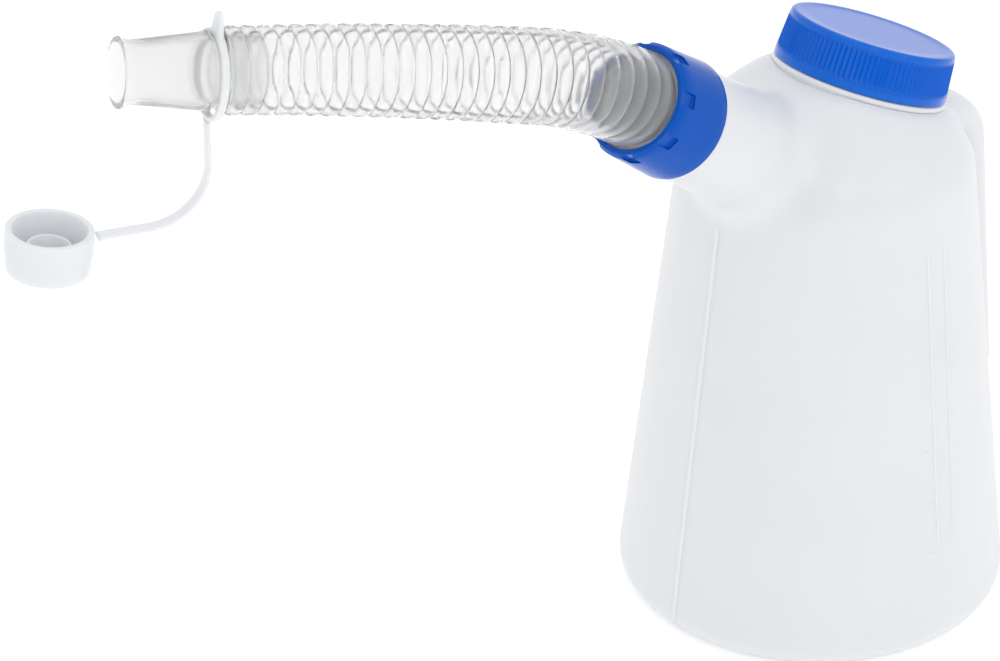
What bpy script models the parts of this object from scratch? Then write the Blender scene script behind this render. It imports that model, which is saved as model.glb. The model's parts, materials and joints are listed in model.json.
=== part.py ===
"""Two-litre fluid measuring jug with a screwed flexible pouring spout and a tethered tip cap.

Frame: metres, +Z up, origin at the centre of the base, spout towards -X, handle towards +X.
The jug is symmetric about the XZ plane, but for its scale. The filler neck leans towards the
handle, and the spout neck rises away from it. The corrugated hose bends over and to the +Y side,
to the nearly level nozzle.
"""

import math

import bmesh
import bpy
from mathutils import Matrix, Vector

# ---------------------------------------------------------------- clearances
GAP = 0.0003          # between touching or nested pieces
THREAD_GAP = 0.0005   # radial, between a thread's crest and the wall it runs in
OVERCUT = 0.004       # how far a cutter runs past what it opens

# ---------------------------------------------------------------- jug body
BASE_R = 0.070              # where the rounded foot meets the straight side
BODY_TAPER = math.radians(6.3)
CORNER_R = 0.0068
CORNER_STEPS = 5
BODY_WALL = 0.0020
SHOULDER_Z = 0.170          # where the straight side ends, on the jug's axis
SHOULDER_LEAN = 0.002       # how much higher it ends at the spout than at the handle
SHOULDER_RISE = 0.34        # fullness of the shoulder's curve at the side wall
SHOULDER_CROWN = 0.10       # fullness of the same curve at the collar
SHOULDER_STEPS = 6
BODY_SEGMENTS = 40

# ---------------------------------------------------------------- filler neck and lid
LID_TILT = math.radians(21.9)
LID_BASE_X = 0.0152         # centre of the lid's lower rim
LID_BASE_RISE = 0.0259      # of the same point above the shoulder
NECK_ROOT_R = 0.0264
NECK_WALL = 0.0022
LID_THREAD_DEPTH = 0.0018
LID_BORE_R = NECK_ROOT_R + LID_THREAD_DEPTH
LID_WALL = 0.0016
LID_TOP_R = LID_BORE_R + LID_WALL
LID_DRAFT = 0.0014          # how much wider the lid is at its lower rim
LID_RIM_R = LID_TOP_R + LID_DRAFT
LID_H = 0.0170
LID_RIM_H = 0.0026          # plain band under the ribs
LID_PLATE = 0.0018
LID_EDGE_H = 0.0016         # plain edge above the ribs
LID_CHAMFER = 0.0008
LID_RIB_DEPTH = 0.0005
COLLAR_PROUD = 0.0003       # how far the jug's collar stands out past the lid's rim
COLLAR_R = LID_RIM_R + COLLAR_PROUD
COLLAR_H = 0.0022
SEAL_T = 0.0012
SEAL_WIDTH = 0.0050

# ---------------------------------------------------------------- hose
HOSE_SWIVEL = math.radians(42.0)    # how far the hose's bend is turned about the spout
HOSE_RINGS = 28
HOSE_NEAR_LENGTH = 0.0454
HOSE_NEAR_BEND = math.radians(27.0)
HOSE_FAR_LENGTH = 0.1074
HOSE_FAR_BEND = math.radians(7.4)
HOSE_CREST_START = 0.0168
HOSE_CREST_END = 0.0142
HOSE_RING_DEPTH = 0.0018
HOSE_WALL = 0.0008
HOSE_FLANGE_T = 0.0016
HOSE_SEGMENTS = 20

# ---------------------------------------------------------------- spout neck and nut
SPOUT_RISE = math.radians(36.6)
SPOUT_REACH = 0.0226        # from the jug's side at the shoulder out to the nut's rear face
SPOUT_LIFT = 0.0415         # of the nut's rear face above the shoulder
NUT_LENGTH = 0.0239
NUT_LIP = 0.0023            # thickness of the lip that holds the hose's flange
NUT_LIP_STEP = 0.0017       # from the hose's first crest out to the nut's bore
NUT_BORE_R = HOSE_CREST_START + NUT_LIP_STEP
NUT_WALL = 0.0017
NUT_FRONT_R = NUT_BORE_R + NUT_WALL
NUT_DRAFT = 0.0011
NUT_REAR_R = NUT_FRONT_R + NUT_DRAFT
NUT_BEVEL = 0.0016
NUT_SLOTS = 8
NUT_SLOT_SHIFT = 0.5        # of the first slot round the nut, as a share of the slots' spacing
NUT_SLOT_WIDTH = 0.0050
NUT_SLOT_LENGTH = 0.0062
NUT_SLOT_DEPTH = 0.0011
FLANGE_FIT = 0.0006         # radial, between the hose's flange and the nut's bore
HOSE_FLANGE_R = NUT_BORE_R - FLANGE_FIT
NUT_THREAD_DEPTH = 0.0022
SPOUT_ROOT_R = NUT_BORE_R - NUT_THREAD_DEPTH
SPOUT_WALL = 0.0020
SPOUT_STUB_PROUD = 0.0016   # how far the neck stands out past the nut's bore, behind the nut
SPOUT_STUB_R = NUT_BORE_R + SPOUT_STUB_PROUD
SPOUT_STUB_LENGTH = 0.0115
SPOUT_FLARE = 0.0042        # how much the neck widens from its straight stub to the jug
SPOUT_FLARE_LENGTH = 0.054  # from the nut's rear face to the flare's end inside the jug
SPOUT_FLARE_STEPS = 5
SPOUT_SEGMENTS = 32

# ---------------------------------------------------------------- threads
LID_PITCH = 0.0060
LID_TURNS = 1.4
LID_INNER_TURNS = 1.0
NUT_PITCH = 0.0045
NUT_TURNS = 1.6
NUT_INNER_TURNS = 1.35
THREAD_CREST = 0.35         # crest width, as a share of the ridge's root width
THREAD_ROOT = 0.42          # root width, as a share of the pitch
THREAD_SINK = 0.0008        # how deep a ridge's foot sits in its wall
THREAD_STEPS = 20           # per turn
THREAD_FADE_STEPS = 4       # over which a ridge rises at each end
THREAD_FADE_FLOOR = 0.15    # height of its very end, as a share of the full height
THREAD_PHASE = math.radians(4.0)    # keeps the ridge's edges off the wall's own edges

# ---------------------------------------------------------------- nozzle
NOZZLE_LENGTH = 0.0349
NOZZLE_SHANK = 0.0120
NOZZLE_WALL = 0.0014
NOZZLE_GROOVE_R = 0.0117
NOZZLE_GROOVE_W = 0.0039
NOZZLE_STOP_PROUD = 0.0019  # past the groove, as are the bead and the cone's wide end
NOZZLE_STOP_T = 0.0011
NOZZLE_BEAD_PROUD = 0.0014
NOZZLE_BEAD_T = 0.0011
NOZZLE_CONE_PROUD = 0.0009
NOZZLE_SMALL_R = 0.0102
NOZZLE_FLARE = 0.0043       # length of the flared mouth
NOZZLE_FLARE_PROUD = 0.0013
NOZZLE_MOUTH_R = NOZZLE_SMALL_R + NOZZLE_FLARE_PROUD
NOZZLE_LIP_T = 0.0015
NOZZLE_EDGE = 0.0005
TIP_SEGMENTS = 28

# ---------------------------------------------------------------- tether and tip cap
RING_DROP = 0.0012          # the loose ring hangs this far below the nozzle's axis
RING_WALL = 0.0018
RING_WIDTH = 0.0026
TAB_HEIGHT = 0.0068
TAB_WIDTH = 0.0076
TAB_T = 0.0024
CAP_REACH = 0.0585          # from the hose's end out to the cap's centre
CAP_RIM_DROP = 0.0462       # of the cap's rim below the hose's end
CAP_TILT = math.radians(6.0)
CAP_FIT = 0.0004            # radial, between the cap's bore and the nozzle's mouth
CAP_BORE_R = NOZZLE_MOUTH_R + CAP_FIT
CAP_WALL = 0.0024
CAP_RIM_R = CAP_BORE_R + CAP_WALL
CAP_DRAFT = 0.0007
CAP_FLOOR_R = CAP_RIM_R - CAP_DRAFT
CAP_H = 0.0147
CAP_FLOOR_T = 0.0016
CAP_EDGE = 0.0004
CAP_FOOT = 0.0010           # bevel round the cap's foot
CAP_PLUG_FIT = 0.0014       # radial, between the plug and the nozzle's bore
CAP_PLUG_R = NOZZLE_SMALL_R - NOZZLE_WALL - CAP_PLUG_FIT
CAP_PLUG_WALL = 0.0012
CAP_PLUG_H = 0.0075
CAP_BAND = 0.0004
STRAP_WIDTH = 0.0050
STRAP_T = 0.0014
STRAP_JOIN = 0.0056         # of the strap's level run below the cap's rim
STRAP_DROP = CAP_RIM_DROP + STRAP_JOIN
STRAP_LEAN = 0.0002
STRAP_BEND_R = 0.0200
STRAP_BEND_STEPS = 7

# ---------------------------------------------------------------- handle
HANDLE_DEPTH = 0.0140       # across the grip, away from the body
HANDLE_WIDTH = 0.0240
HANDLE_FULLNESS = 0.8       # of the grip's section: 1 is an ellipse, less is squarer
HANDLE_REACH = 0.0132       # from the jug's side out to the grip's middle line
HANDLE_TOP_DROP = 0.0050    # of the corner of the top run and the grip below the shoulder
HANDLE_TOP_SLOPE = math.radians(24.0)   # of the top run, up to the jug
HANDLE_FOOT_Z = 0.0460      # of the corner of the grip and the foot run
HANDLE_ROOT_DEPTH = 0.0120  # how far both runs reach inside the jug's side
HANDLE_BEND_R = 0.0140
HANDLE_BEND_STEPS = 4
HANDLE_SEGMENTS = 14
RECESS_DEPTH = 0.0160       # of the finger recess behind the grip, into the jug's side
RECESS_OUT = 0.0040         # from the jug's side out to the recess's centre
RECESS_HALF_WIDTH = 0.0377
RECESS_HALF_HEIGHT = 0.0470
RECESS_Z = 0.1000
RECESS_SEGMENTS = 24
RECESS_STEPS = 14

# ---------------------------------------------------------------- level strip and scale
STRIP_WIDTH = 0.0080
STRIP_LOW_Z = 0.041
STRIP_TOP_DROP = 0.013      # of the strip's upper end below the shoulder
RIB_PROUD = 0.0005
RIB_WIDTH = 0.0008
TICK_LENGTH = 0.0060
TICK_LITRES = (0.5, 0.75, 1.0, 1.25, 1.5)
LEVEL_STEP = 0.0005         # slice height used to work out the ticks

# ---------------------------------------------------------------- colours
MILKY = (0.86, 0.88, 0.91, 1.0)
BLUE = (0.005, 0.12, 0.62, 1.0)
CLEAR = (0.88, 0.91, 0.94, 1.0)
SEAL_GREY = (0.72, 0.73, 0.74, 1.0)


# ================================================================ tools
def clear_scene():
    for item in list(bpy.data.objects):
        bpy.data.objects.remove(item)


def material(name, colour, roughness):
    made = bpy.data.materials.new(name)
    made.use_nodes = True
    shader = made.node_tree.nodes["Principled BSDF"]
    shader.inputs["Base Color"].default_value = colour
    shader.inputs["Roughness"].default_value = roughness
    shader.inputs["Metallic"].default_value = 0.0
    return made


def place(name, mesh, parent, look=None, matrix=None):
    """Link a mesh as an object under a parent empty, with its own material."""
    item = bpy.data.objects.new(name, mesh)
    bpy.context.collection.objects.link(item)
    item.parent = parent
    if matrix is not None:
        item.matrix_local = matrix
    if look is not None:
        mesh.materials.append(look)
    mesh.shade_smooth()
    return item


def frame(name, parent, matrix):
    empty = bpy.data.objects.new(name, None)
    bpy.context.collection.objects.link(empty)
    empty.parent = parent
    empty.matrix_local = matrix
    return empty


def guide(item):
    """A cutter or a piece that another object takes in: the build leaves it out."""
    item.hide_render = True
    item.display_type = "WIRE"
    return item


def boolean(target, other, operation):
    step = target.modifiers.new(other.name, "BOOLEAN")
    step.operation = operation
    step.solver = "EXACT"
    step.object = guide(other)


def arc(centre, radius, start, end, steps):
    """Points on an arc in a profile's plane, angles in degrees from the outward direction."""
    made = []
    for k in range(steps + 1):
        angle = math.radians(start + (end - start) * k / steps)
        made.append((centre[0] + radius * math.cos(angle), centre[1] + radius * math.sin(angle)))
    return made


def turned(name, profile, parent, look=None, segments=SPOUT_SEGMENTS, matrix=None):
    """A solid turned about its local Z from (radius, height) points.

    A profile that starts and ends on the axis is capped flat there, any other is a closed loop.
    """
    looped = profile[0][0] > 0.0
    angles = [2 * math.pi * k / segments for k in range(segments)]
    rings = [[(r * math.cos(a), r * math.sin(a), z) for a in angles] for r, z in profile if r > 0.0]
    return lofted(name, rings, parent, look, matrix, looped)


def lofted(name, rings, parent, look=None, matrix=None, looped=False):
    """A solid through equal rings of points, capped at both ends or looped round on itself."""
    made = bmesh.new()
    rows = [[made.verts.new(point) for point in ring] for ring in rings]
    pairs = list(zip(rows, rows[1:]))
    if looped:
        pairs.append((rows[-1], rows[0]))
    for lower, upper in pairs:
        for k in range(len(lower)):
            j = (k + 1) % len(lower)
            made.faces.new((lower[k], lower[j], upper[j], upper[k]))
    if not looped:
        made.faces.new(list(reversed(rows[0])))
        made.faces.new(rows[-1])
    bmesh.ops.recalc_face_normals(made, faces=made.faces)
    mesh = bpy.data.meshes.new(name)
    made.to_mesh(mesh)
    made.free()
    return place(name, mesh, parent, look, matrix)


def rounded_path(corners, radius, steps):
    """A plane path through corner points, with each inner corner replaced by an arc."""
    points = [Vector(corners[0])]
    for before, corner, after in zip(corners, corners[1:], corners[2:]):
        corner = Vector(corner)
        back = (Vector(before) - corner).normalized()
        ahead = (Vector(after) - corner).normalized()
        half = back.angle(ahead) / 2
        bisector = (back + ahead).normalized()
        centre = corner + bisector * (radius / math.sin(half))
        first = corner + back * (radius / math.tan(half)) - centre
        sweep = math.copysign(math.pi - 2 * half, back.cross(ahead))
        for k in range(steps + 1):
            turn = Matrix.Rotation(-sweep * k / steps, 2)
            points.append(centre + turn @ first)
    points.append(Vector(corners[-1]))
    return points


def swept(name, path, section, parent, look=None, matrix=None):
    """A solid swept along a path in the XZ plane. The section gives (across, sideways) points."""
    rings = []
    for k, point in enumerate(path):
        ahead = (path[min(k + 1, len(path) - 1)] - path[max(k - 1, 0)]).normalized()
        across = Vector((-ahead[1], ahead[0]))
        ring = []
        for a, s in section:
            spot = point + across * a
            ring.append((spot[0], s, spot[1]))
        rings.append(ring)
    return lofted(name, rings, parent, look, matrix)


def oval(depth, width, segments):
    """The grip's rounded section, a little fuller than an ellipse."""
    points = []
    for k in range(segments):
        angle = 2 * math.pi * (k + 0.5) / segments
        c, s = math.cos(angle), math.sin(angle)
        points.append((math.copysign(abs(c) ** HANDLE_FULLNESS, c) * depth / 2,
                       math.copysign(abs(s) ** HANDLE_FULLNESS, s) * width / 2))
    return points


def box(name, low, high, parent, look=None, matrix=None):
    made = bmesh.new()
    bmesh.ops.create_cube(made, size=1.0)
    size = Vector(high) - Vector(low)
    bmesh.ops.scale(made, vec=size, verts=made.verts)
    bmesh.ops.translate(made, vec=(Vector(high) + Vector(low)) / 2, verts=made.verts)
    mesh = bpy.data.meshes.new(name)
    made.to_mesh(mesh)
    made.free()
    return place(name, mesh, parent, look, matrix)


def thread(name, root_r, crest_r, start, pitch, turns, parent):
    """A right-hand helical ridge from a wall at root_r to crest_r, fading in at both ends."""
    count = round(turns * THREAD_STEPS)
    root_half = pitch * THREAD_ROOT / 2
    crest_half = root_half * THREAD_CREST
    buried_r = root_r + math.copysign(THREAD_SINK, root_r - crest_r)
    rings = []
    for k in range(count + 1):
        fade = min(1.0, THREAD_FADE_FLOOR + min(k, count - k) / THREAD_FADE_STEPS)
        angle = THREAD_PHASE + 2 * math.pi * k / THREAD_STEPS
        z = start + pitch * k / THREAD_STEPS
        tip_r = root_r + (crest_r - root_r) * fade
        corners = ((buried_r, -root_half), (tip_r, -crest_half),
                   (tip_r, crest_half), (buried_r, root_half))
        rings.append([(r * math.cos(angle), r * math.sin(angle), z + h) for r, h in corners])
    return lofted(name, rings, parent)


# ================================================================ jug
def side_radius(z):
    return BASE_R - (z - CORNER_R) * math.tan(BODY_TAPER)


def lid_place():
    """Frame of the filler neck and lid: origin at the lid's lower rim, +Z out through the lid."""
    foot = Matrix.Translation((LID_BASE_X, 0.0, SHOULDER_Z + LID_BASE_RISE))
    return foot @ Matrix.Rotation(LID_TILT, 4, "Y")


def spout_place():
    """Frame of the spout neck, nut and hose: origin at the nut's rear face, +Z out along the spout."""
    x = -(side_radius(SHOULDER_Z) + SPOUT_REACH)
    rear = Matrix.Translation((x, 0.0, SHOULDER_Z + SPOUT_LIFT))
    return rear @ Matrix.Rotation(SPOUT_RISE - math.pi / 2, 4, "Y")


def shell_rings(inset):
    """Rings of the jug's skin moved in by inset, from the foot to the filler neck's rim."""
    rings = []
    corner_r = CORNER_R - inset
    lean = 90.0 - math.degrees(BODY_TAPER)
    centre_z = CORNER_R
    centre_r = side_radius(centre_z) - CORNER_R / math.cos(BODY_TAPER)
    angles = [2 * math.pi * k / BODY_SEGMENTS for k in range(BODY_SEGMENTS)]
    for radius, z in arc((centre_r, centre_z), corner_r, -90, 90 - lean, CORNER_STEPS):
        rings.append([(radius * math.cos(a), radius * math.sin(a), z) for a in angles])
    tilt = Matrix.Rotation(LID_TILT, 4, "Y")
    foot = lid_place().translation
    up = tilt @ Vector((0.0, 0.0, 1.0))
    collar_foot = foot - up * (GAP + COLLAR_H + inset)
    columns = []
    for a in angles:
        outward = Vector((math.cos(a), math.sin(a), 0.0))
        low_z = SHOULDER_Z - SHOULDER_LEAN * math.cos(a)
        low = outward * (side_radius(low_z) - inset) + Vector((0.0, 0.0, low_z))
        rise = (Vector((0.0, 0.0, 1.0)) - outward * math.tan(BODY_TAPER)).normalized()
        flat_out = tilt @ outward
        high = collar_foot + flat_out * (COLLAR_R - inset)
        span = (high - low).length
        near = low + rise * span * SHOULDER_RISE
        far = high + flat_out * span * SHOULDER_CROWN
        column = []
        for k in range(SHOULDER_STEPS + 1):
            t = k / SHOULDER_STEPS
            column.append(low * (1 - t) ** 3 + near * 3 * t * (1 - t) ** 2
                          + far * 3 * t ** 2 * (1 - t) + high * t ** 3)
        if inset == 0.0:
            column.append(foot - up * GAP + flat_out * COLLAR_R)
            column.append(foot - up * GAP + flat_out * NECK_ROOT_R)
            column.append(foot + up * neck_top() + flat_out * NECK_ROOT_R)
        else:
            column.append(collar_foot + flat_out * (NECK_ROOT_R - NECK_WALL))
            column.append(foot + up * (neck_top() + OVERCUT) + flat_out * (NECK_ROOT_R - NECK_WALL))
        columns.append(column)
    for k in range(len(columns[0])):
        rings.append([tuple(column[k]) for column in columns])
    return rings


def spout_skin(inset):
    """Profile of the spout neck in its own frame, which starts at the nut's rear face."""
    rim_z = spout_rim_z()
    if inset == 0.0:
        top = [(0.0, rim_z), (SPOUT_ROOT_R, rim_z), (SPOUT_ROOT_R, -GAP), (SPOUT_STUB_R, -GAP)]
    else:
        bore_r = SPOUT_ROOT_R - SPOUT_WALL
        step_z = -GAP - SPOUT_WALL
        top = [(0.0, rim_z + OVERCUT), (bore_r, rim_z + OVERCUT), (bore_r, step_z),
               (SPOUT_STUB_R - inset, step_z - SPOUT_WALL)]
    flare = []
    end = SPOUT_FLARE_LENGTH - inset
    for k in range(SPOUT_FLARE_STEPS + 1):
        share = k / SPOUT_FLARE_STEPS
        along = SPOUT_STUB_LENGTH + (end - SPOUT_STUB_LENGTH) * share
        flare.append((SPOUT_STUB_R + SPOUT_FLARE * share ** 2 - inset, -along))
    return top + flare + [(0.0, -end)]


def spout_rim_z():
    """Height of the spout neck's rim: under the nut's lip, the hose's flange and the seal."""
    return NUT_LENGTH - NUT_LIP - HOSE_FLANGE_T - SEAL_T - 3 * GAP


def neck_top():
    """Height of the filler neck's rim above the lid's lower rim: under the plate and the seal."""
    return LID_H - LID_PLATE - SEAL_T - 2 * GAP


def level_of(litres):
    """Height at which the jug holds this much."""
    held = 0.0
    z = BODY_WALL
    while held < litres * 0.001:
        corner = max(0.0, CORNER_R - z)
        loss = CORNER_R - math.sqrt(CORNER_R ** 2 - corner ** 2)
        held += math.pi * (side_radius(z) - BODY_WALL - loss) ** 2 * LEVEL_STEP
        z += LEVEL_STEP
    return z


def scale_ribs(body, root):
    """The level strip's two edges and the scale's ticks, raised on the -Y side."""
    lean = Matrix.Rotation(-BODY_TAPER, 4, "X")
    wall = Matrix.Translation((0.0, -side_radius(0.0), 0.0)) @ lean
    for side, x in (("left", -STRIP_WIDTH / 2), ("right", STRIP_WIDTH / 2)):
        rib = box(f"strip_edge_{side}", (x - RIB_WIDTH / 2, -RIB_PROUD, STRIP_LOW_Z),
                  (x + RIB_WIDTH / 2, BODY_WALL / 2, SHOULDER_Z - STRIP_TOP_DROP), root, matrix=wall)
        boolean(body, rib, "UNION")
    for k, litres in enumerate(TICK_LITRES):
        z = level_of(litres)
        x = -STRIP_WIDTH / 2 - RIB_WIDTH
        tick = box(f"tick_{k}", (x - TICK_LENGTH, -RIB_PROUD, z - RIB_WIDTH / 2),
                   (x, BODY_WALL / 2, z + RIB_WIDTH / 2), root, matrix=wall)
        boolean(body, tick, "UNION")


def handle_path():
    """The handle's middle line as (x, z) points, from inside the jug round the grip and back."""
    top_z = SHOULDER_Z - HANDLE_TOP_DROP
    top_x = side_radius(top_z) + HANDLE_REACH
    inward = HANDLE_REACH + HANDLE_ROOT_DEPTH
    top_root = (top_x - inward, top_z + inward * math.tan(HANDLE_TOP_SLOPE))
    foot_x = side_radius(HANDLE_FOOT_Z) + HANDLE_REACH
    corners = (top_root, (top_x, top_z), (foot_x, HANDLE_FOOT_Z), (foot_x - inward, HANDLE_FOOT_Z))
    return rounded_path(corners, HANDLE_BEND_R, HANDLE_BEND_STEPS)


def grip_recess(name, inset, root):
    """The finger recess scooped out of the jug's side behind the grip, grown by inset."""
    depth = RECESS_OUT + RECESS_DEPTH + inset
    rings = []
    for k in range(1, RECESS_STEPS):
        latitude = math.pi * (k / RECESS_STEPS - 0.5)
        z = (RECESS_HALF_HEIGHT + inset) * math.sin(latitude)
        ring = []
        for j in range(RECESS_SEGMENTS):
            angle = 2 * math.pi * (j + 0.5) / RECESS_SEGMENTS
            ring.append((depth * math.cos(latitude) * math.cos(angle),
                         (RECESS_HALF_WIDTH + inset) * math.cos(latitude) * math.sin(angle), z))
        rings.append(ring)
    centre = Matrix.Translation((side_radius(RECESS_Z) + RECESS_OUT, 0.0, RECESS_Z))
    return lofted(name, rings, root, matrix=centre @ Matrix.Rotation(-BODY_TAPER, 4, "Y"))


def jug(root, lid_frame, spout_frame, look):
    half_step = Matrix.Rotation(math.pi / SPOUT_SEGMENTS, 4, "Z")
    body = lofted("jug_body", shell_rings(0.0), root, look)
    boolean(body, turned("spout_neck_skin", spout_skin(0.0), spout_frame, matrix=half_step), "UNION")
    boolean(body, grip_recess("recess_skin", 0.0, root), "DIFFERENCE")
    grip = oval(HANDLE_DEPTH, HANDLE_WIDTH, HANDLE_SEGMENTS)
    boolean(body, swept("handle_skin", handle_path(), grip, root), "UNION")
    hollow = lofted("jug_hollow", shell_rings(BODY_WALL), root)
    neck_bore = turned("spout_neck_bore", spout_skin(BODY_WALL), spout_frame, matrix=half_step)
    boolean(hollow, neck_bore, "UNION")
    boolean(hollow, grip_recess("recess_wall", BODY_WALL, root), "DIFFERENCE")
    inner = oval(HANDLE_DEPTH - 2 * BODY_WALL, HANDLE_WIDTH - 2 * BODY_WALL, HANDLE_SEGMENTS)
    boolean(hollow, swept("handle_hollow", handle_path(), inner, root), "UNION")
    boolean(body, hollow, "DIFFERENCE")
    lid_start = neck_top() - LID_PITCH * (LID_TURNS + THREAD_ROOT)
    lid_thread = thread("neck_thread", NECK_ROOT_R, LID_BORE_R - THREAD_GAP, lid_start,
                        LID_PITCH, LID_TURNS, lid_frame)
    nut_start = spout_rim_z() - NUT_PITCH * (NUT_TURNS + THREAD_ROOT)
    nut_thread = thread("spout_thread", SPOUT_ROOT_R, NUT_BORE_R - THREAD_GAP, nut_start,
                        NUT_PITCH, NUT_TURNS, spout_frame)
    boolean(body, lid_thread, "UNION")
    boolean(body, nut_thread, "UNION")
    scale_ribs(body, root)
    return body


# ================================================================ filler lid
def filler_lid(lid_frame, blue, grey):
    side = (LID_RIM_R - LID_TOP_R) / LID_H
    rib_low = LID_RIM_H + LID_RIB_DEPTH
    rib_high = LID_H - LID_EDGE_H - LID_CHAMFER
    core = LID_TOP_R - LID_RIB_DEPTH
    profile = [(0.0, LID_H), (LID_TOP_R - LID_CHAMFER, LID_H), (LID_TOP_R, LID_H - LID_CHAMFER),
               (LID_TOP_R + side * LID_CHAMFER, rib_high), (core, rib_high - LID_RIB_DEPTH),
               (core, rib_low), (LID_RIM_R, LID_RIM_H), (LID_RIM_R, 0.0), (0.0, 0.0)]
    lid = turned("filler_lid", profile, lid_frame, blue, segments=BODY_SEGMENTS)
    plate_z = LID_H - LID_PLATE
    hollow = [(0.0, plate_z), (LID_BORE_R, plate_z), (LID_BORE_R, -OVERCUT), (0.0, -OVERCUT)]
    bore = turned("lid_bore", hollow, lid_frame, segments=BODY_SEGMENTS)
    boolean(lid, bore, "DIFFERENCE")
    start = neck_top() - LID_PITCH * (LID_TURNS + THREAD_ROOT) + LID_PITCH / 2
    ridge = thread("lid_thread", LID_BORE_R, NECK_ROOT_R + THREAD_GAP, start,
                   LID_PITCH, LID_INNER_TURNS, lid_frame)
    boolean(lid, ridge, "UNION")
    seal_r = NECK_ROOT_R - GAP
    seal_low = neck_top() + GAP
    turned("lid_seal", [(seal_r, seal_low + SEAL_T), (seal_r, seal_low),
                        (seal_r - SEAL_WIDTH, seal_low), (seal_r - SEAL_WIDTH, seal_low + SEAL_T)],
           lid_frame, grey, segments=BODY_SEGMENTS)
    return lid


# ================================================================ spout nut and seal
def swivel_nut(spout_frame, blue, grey):
    lip_r = HOSE_CREST_START + THREAD_GAP
    profile = [(NUT_FRONT_R - NUT_BEVEL, NUT_LENGTH), (NUT_FRONT_R, NUT_LENGTH - NUT_BEVEL),
               (NUT_REAR_R, 0.0), (NUT_BORE_R, 0.0), (NUT_BORE_R, NUT_LENGTH - NUT_LIP),
               (lip_r, NUT_LENGTH - NUT_LIP), (lip_r, NUT_LENGTH)]
    nut = turned("swivel_nut", profile, spout_frame, blue)
    for k in range(NUT_SLOTS):
        turn = Matrix.Rotation(2 * math.pi * (k + NUT_SLOT_SHIFT) / NUT_SLOTS, 4, "Z")
        low = (NUT_FRONT_R - NUT_SLOT_DEPTH, -NUT_SLOT_WIDTH / 2, NUT_LENGTH - NUT_SLOT_LENGTH)
        high = (NUT_REAR_R + OVERCUT, NUT_SLOT_WIDTH / 2, NUT_LENGTH + OVERCUT)
        slot = box(f"nut_slot_{k}", low, high, spout_frame, matrix=turn)
        boolean(nut, slot, "DIFFERENCE")
    start = spout_rim_z() - NUT_PITCH * (NUT_TURNS + THREAD_ROOT) - NUT_PITCH / 2
    ridge = thread("nut_thread", NUT_BORE_R, SPOUT_ROOT_R + THREAD_GAP, start,
                   NUT_PITCH, NUT_INNER_TURNS, spout_frame)
    boolean(nut, ridge, "UNION")
    low = spout_rim_z() + GAP
    high = low + SEAL_T
    bore_r = SPOUT_ROOT_R - SPOUT_WALL
    turned("spout_seal", [(HOSE_FLANGE_R, high), (HOSE_FLANGE_R, low), (bore_r, low), (bore_r, high)],
           spout_frame, grey)
    return nut


# ================================================================ hose
def hose_stations(distance):
    """Point and heading of the hose's centre line, in the spout's frame, this far from the nut's face."""
    sideways = Vector((-math.cos(HOSE_SWIVEL), math.sin(HOSE_SWIVEL), 0.0))
    forward = Vector((0.0, 0.0, 1.0))
    point = forward * NUT_LENGTH
    turn = 0.0
    if distance <= 0.0:
        return point + forward * distance, forward
    for length, bend in ((HOSE_NEAR_LENGTH, HOSE_NEAR_BEND), (HOSE_FAR_LENGTH, HOSE_FAR_BEND)):
        travel = min(distance, length)
        radius = length / bend
        after = turn + travel / radius
        point = point + forward * radius * (math.sin(after) - math.sin(turn))
        point = point + sideways * radius * (math.cos(turn) - math.cos(after))
        turn = after
        distance -= travel
        if distance <= 0.0:
            break
    heading = forward * math.cos(turn) + sideways * math.sin(turn)
    return point, heading


def hose_ring(distance, radius):
    point, heading = hose_stations(distance)
    normal = Vector((math.sin(HOSE_SWIVEL), math.cos(HOSE_SWIVEL), 0.0))
    inward = normal.cross(heading)
    ring = []
    for k in range(HOSE_SEGMENTS):
        angle = 2 * math.pi * k / HOSE_SEGMENTS
        ring.append(tuple(point + (normal * math.cos(angle) + inward * math.sin(angle)) * radius))
    return ring


def hose_length():
    return HOSE_NEAR_LENGTH + HOSE_FAR_LENGTH


def hose_bore(distance):
    share = max(0.0, distance) / hose_length()
    crest = HOSE_CREST_START + (HOSE_CREST_END - HOSE_CREST_START) * share
    return crest - HOSE_RING_DEPTH - HOSE_WALL


def flex_hose(spout_frame, clear):
    flange_low = -NUT_LIP - GAP - HOSE_FLANGE_T
    flange_high = -NUT_LIP - GAP
    pitch = hose_length() / HOSE_RINGS
    valley = HOSE_CREST_START - HOSE_RING_DEPTH
    rings = [hose_ring(flange_low, HOSE_FLANGE_R), hose_ring(flange_high, HOSE_FLANGE_R),
             hose_ring(flange_high, valley)]
    for k in range(HOSE_RINGS):
        for share, depth in ((0.0, HOSE_RING_DEPTH), (0.5, 0.0)):
            distance = (k + share) * pitch
            crest = hose_bore(distance) + HOSE_WALL + HOSE_RING_DEPTH
            rings.append(hose_ring(distance, crest - depth))
    end = hose_length()
    rings.append(hose_ring(end, hose_bore(end) + HOSE_WALL))
    for k in range(HOSE_RINGS, -1, -2):
        rings.append(hose_ring(k * pitch, hose_bore(k * pitch)))
    rings.append(hose_ring(flange_low, hose_bore(0.0)))
    return lofted("flex_hose", rings, spout_frame, clear, looped=True)


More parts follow.
